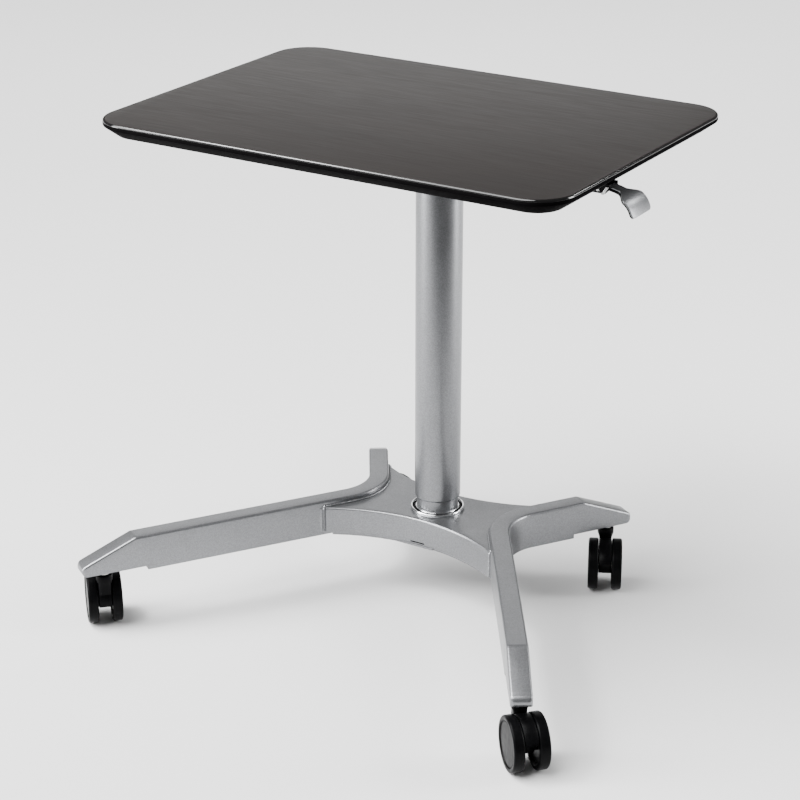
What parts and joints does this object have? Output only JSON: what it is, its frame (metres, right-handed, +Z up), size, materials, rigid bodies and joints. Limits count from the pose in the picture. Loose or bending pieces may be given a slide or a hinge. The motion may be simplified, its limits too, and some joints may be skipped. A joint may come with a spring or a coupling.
{
  "type": "height adjustable standing desk",
  "caption": "Mobile sit-stand desk: a dark rounded worktop on a telescoping column, a silver base of bent legs joined by a hub, twin-wheel casters and a release lever under the edge.",
  "frame": {"origin": "on the floor, in the middle of the footprint of the whole desk", "axes": "+Z up, +Y to the back, +X to the side with the release lever; the user stands at -Y"},
  "size_m": [0.7896, 0.6044, 0.734],
  "materials": {
    "silver_paint": "satin metallic powder coat with a fine sparkle",
    "chrome": "polished",
    "bare_steel": "zinc plated",
    "dark_laminate": "matt dark brown-grey laminate with faint straight grain",
    "black_moulding": "satin black moulding",
    "black_nylon": "moulded black nylon",
    "acetal": "natural acetal",
    "black_paint": "semi-matt black powder coat"
  },
  "bodies": {
    "base": {"left_leg": "silver_paint", "right_leg": "silver_paint", "hub": "silver_paint", "base_plate": "silver_paint", "column_foot": "bare_steel", "foot_bolt_1": "bare_steel", "foot_bolt_2": "bare_steel", "foot_bolt_3": "bare_steel", "inner_column": "silver_paint", "trim_ring": "chrome", "upper_bush": "acetal", "piston_rod": "chrome", "rod_nut": "bare_steel", "socket_front_left": "bare_steel", "socket_front_right": "bare_steel", "socket_back_left": "bare_steel", "socket_back_right": "bare_steel"},
    "top": {"worktop": "dark_laminate", "edge_band": "black_moulding", "column_head": "black_paint", "head_screw_1": "bare_steel", "head_screw_2": "bare_steel", "head_screw_3": "bare_steel", "head_screw_4": "bare_steel", "outer_sleeve": "silver_paint", "lower_bush": "acetal", "lift_cylinder": "black_paint", "release_arm_pin": "bare_steel", "lever_bracket": "black_paint", "bracket_brace": "bare_steel", "bracket_screw_1": "bare_steel", "bracket_screw_2": "bare_steel", "lever_pin": "bare_steel", "release_cable": "black_nylon", "cable_clip_1": "black_nylon", "cable_clip_2": "black_nylon"},
    "lever": {"lever_cover": "silver_paint", "lever_body": "black_nylon"},
    "release_arm": {"release_arm": "bare_steel"},
    "release_pin": {"release_pin": "bare_steel"},
    "caster_front_left": {"stem_front_left": "bare_steel", "housing_front_left": "black_nylon", "axle_front_left": "bare_steel"},
    "wheel_a_front_left": {"wheel_a_front_left": "black_nylon"},
    "wheel_b_front_left": {"wheel_b_front_left": "black_nylon"},
    "caster_front_right": {"stem_front_right": "bare_steel", "housing_front_right": "black_nylon", "axle_front_right": "bare_steel"},
    "wheel_a_front_right": {"wheel_a_front_right": "black_nylon"},
    "wheel_b_front_right": {"wheel_b_front_right": "black_nylon"},
    "caster_back_left": {"stem_back_left": "bare_steel", "housing_back_left": "black_nylon", "axle_back_left": "bare_steel"},
    "wheel_a_back_left": {"wheel_a_back_left": "black_nylon"},
    "wheel_b_back_left": {"wheel_b_back_left": "black_nylon"},
    "caster_back_right": {"stem_back_right": "bare_steel", "housing_back_right": "black_nylon", "axle_back_right": "bare_steel"},
    "wheel_a_back_right": {"wheel_a_back_right": "black_nylon"},
    "wheel_b_back_right": {"wheel_b_back_right": "black_nylon"}
  },
  "joints": [
    {"name": "lift", "type": "slide", "parent": "base", "child": "top", "axis": [0, 0, 1], "range_m": [0, 0.39]},
    {"name": "lever_pivot", "type": "hinge", "parent": "top", "child": "lever", "pos_m": [0.31756, -0.02573, 0.7028], "axis": [0, -1, 0], "range_deg": [0, 9], "stiffness_Nm_per_rad": 4, "springref_deg": -5.73},
    {"name": "release_arm_pivot", "type": "hinge", "parent": "top", "child": "release_arm", "pos_m": [0.03756, 0.11427, 0.701], "axis": [0, -1, 0], "range_deg": [0, 5.01]},
    {"name": "release_pin_travel", "type": "slide", "parent": "top", "child": "release_pin", "axis": [0, 0, -1], "range_m": [0, 0.0034]},
    {"name": "swivel_front_left", "type": "hinge", "parent": "base", "child": "caster_front_left", "pos_m": [-0.33518, -0.2425, 0.0864], "axis": [0, 0, 1], "continuous": true},
    {"name": "roll_a_front_left", "type": "hinge", "parent": "caster_front_left", "child": "wheel_a_front_left", "pos_m": [-0.35324, -0.2238, 0.0375], "axis": [-0.7193, -0.6947, 0], "continuous": true},
    {"name": "roll_b_front_left", "type": "hinge", "parent": "caster_front_left", "child": "wheel_b_front_left", "pos_m": [-0.35324, -0.2238, 0.0375], "axis": [-0.7193, -0.6947, 0], "continuous": true},
    {"name": "swivel_front_right", "type": "hinge", "parent": "base", "child": "caster_front_right", "pos_m": [0.3343, -0.2425, 0.0864], "axis": [0, 0, 1], "continuous": true},
    {"name": "roll_a_front_right", "type": "hinge", "parent": "caster_front_right", "child": "wheel_a_front_right", "pos_m": [0.353, -0.26056, 0.0375], "axis": [0.6947, 0.7193, 0], "continuous": true},
    {"name": "roll_b_front_right", "type": "hinge", "parent": "caster_front_right", "child": "wheel_b_front_right", "pos_m": [0.353, -0.26056, 0.0375], "axis": [0.6947, 0.7193, 0], "continuous": true},
    {"name": "swivel_back_left", "type": "hinge", "parent": "base", "child": "caster_back_left", "pos_m": [-0.19847, 0.26686, 0.0864], "axis": [0, 0, 1], "continuous": true},
    {"name": "roll_a_back_left", "type": "hinge", "parent": "caster_back_left", "child": "wheel_a_back_left", "pos_m": [-0.17247, 0.26686, 0.0375], "axis": [0, 1, 0], "continuous": true},
    {"name": "roll_b_back_left", "type": "hinge", "parent": "caster_back_left", "child": "wheel_b_back_left", "pos_m": [-0.17247, 0.26686, 0.0375], "axis": [0, 1, 0], "continuous": true},
    {"name": "swivel_back_right", "type": "hinge", "parent": "base", "child": "caster_back_right", "pos_m": [0.19758, 0.26686, 0.0864], "axis": [0, 0, 1], "continuous": true},
    {"name": "roll_a_back_right", "type": "hinge", "parent": "caster_back_right", "child": "wheel_a_back_right", "pos_m": [0.20939, 0.24369, 0.0375], "axis": [0.891, 0.454, 0], "continuous": true},
    {"name": "roll_b_back_right", "type": "hinge", "parent": "caster_back_right", "child": "wheel_b_back_right", "pos_m": [0.20939, 0.24369, 0.0375], "axis": [0.891, 0.454, 0], "continuous": true}
  ],
  "couplings": [
    {"joint": "release_arm_pivot", "follows": "lever_pivot", "ratio": 0.55556},
    {"joint": "release_pin_travel", "follows": "lever_pivot", "m_per_rad": 0.021}
  ]
}
